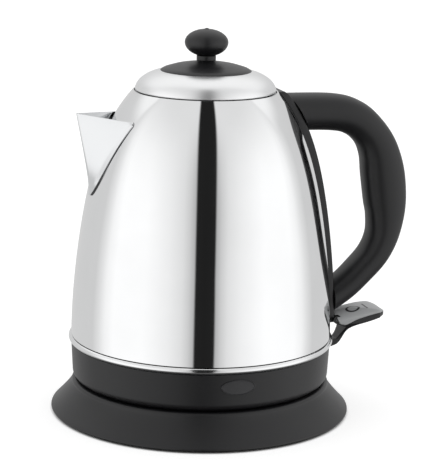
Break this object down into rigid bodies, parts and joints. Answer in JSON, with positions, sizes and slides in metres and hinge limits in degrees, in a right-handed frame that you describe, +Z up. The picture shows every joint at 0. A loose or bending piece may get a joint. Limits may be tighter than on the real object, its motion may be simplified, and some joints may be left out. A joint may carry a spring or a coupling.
{
  "type": "cordless electric kettle",
  "caption": "Cordless electric kettle: polished steel jug with a vee spout, lift-off domed lid with a knob, black loop handle, switch lever and a round flared power base.",
  "frame": {"origin": "on the jug's vertical axis, in the plane of the rubber foot's underside", "axes": "+Z up; the spout points to -X and the handle to +X; the badge faces -Y and the cord leaves the base to +Y"},
  "size_m": [0.2143, 0.1762, 0.2259],
  "materials": {
    "polished_steel": "mirror-polished stainless steel sheet",
    "inner_steel": "brushed stainless steel",
    "fastener_steel": "zinc-plated steel",
    "black_plastic": "satin black polypropylene",
    "dark_plastic": "smooth black plastic",
    "silver_plastic": "satin silver-painted plastic",
    "control_plastic": "natural nylon",
    "cast_aluminium": "cast aluminium",
    "contact_brass": "silver-plated brass contacts",
    "foot_rubber": "black rubber"
  },
  "bodies": {
    "power_base": {"base_shell": "black_plastic", "base_plate": "black_plastic", "foot_ring": "foot_rubber", "base_hub": "dark_plastic", "base_contacts": "contact_brass", "base_screws": "fastener_steel", "cord_gland": "dark_plastic", "cord_clamp": "control_plastic", "clamp_screws": "fastener_steel"},
    "connector": {"kettle_connector": "dark_plastic", "connector_rings": "contact_brass", "connector_pin": "contact_brass"},
    "jug": {"vessel": "polished_steel", "spout": "polished_steel", "trim_ring": "polished_steel", "bottom_housing": "black_plastic", "collar_badge": "dark_plastic", "vessel_floor": "inner_steel", "diffuser_plate": "cast_aluminium", "heating_element": "cast_aluminium", "element_terminals": "contact_brass", "thermostat_body": "control_plastic", "bimetal_discs": "inner_steel", "thermostat_screws": "fastener_steel", "floor_studs": "fastener_steel", "housing_screws": "fastener_steel", "handle_spine": "black_plastic", "handle_grip": "black_plastic", "handle_screws": "fastener_steel", "grip_screw": "fastener_steel", "steam_seal": "foot_rubber", "lever_pin": "fastener_steel"},
    "lever": {"switch_lever": "black_plastic", "lever_insert": "silver_plastic"},
    "trip": {"trip_rod": "control_plastic"},
    "lid": {"lid_dome": "polished_steel", "lid_liner": "inner_steel", "lid_cap": "black_plastic", "neck_band": "dark_plastic", "lid_knob": "black_plastic", "lid_screw": "fastener_steel"}
  },
  "joints": [
    {"name": "jug_lift", "type": "slide", "parent": "power_base", "child": "connector", "axis": [0, 0, 1], "range_m": [0, 0.06]},
    {"name": "jug_swivel", "type": "hinge", "parent": "connector", "child": "jug", "pos_m": [0, 0, 0.031], "axis": [0, 0, 1], "continuous": true},
    {"name": "lid_lift", "type": "slide", "parent": "jug", "child": "lid", "axis": [0, 0, 1], "range_m": [0, 0.045]},
    {"name": "switch_press", "type": "hinge", "parent": "jug", "child": "lever", "pos_m": [0.083, 0, 0.0504], "axis": [0, 1, 0], "range_deg": [0, 10]},
    {"name": "trip_slide", "type": "slide", "parent": "jug", "child": "trip", "axis": [-1, 0, 0], "range_m": [0, 0.0028]}
  ],
  "couplings": [
    {"joint": "trip_slide", "follows": "switch_press", "m_per_rad": 0.0156}
  ]
}
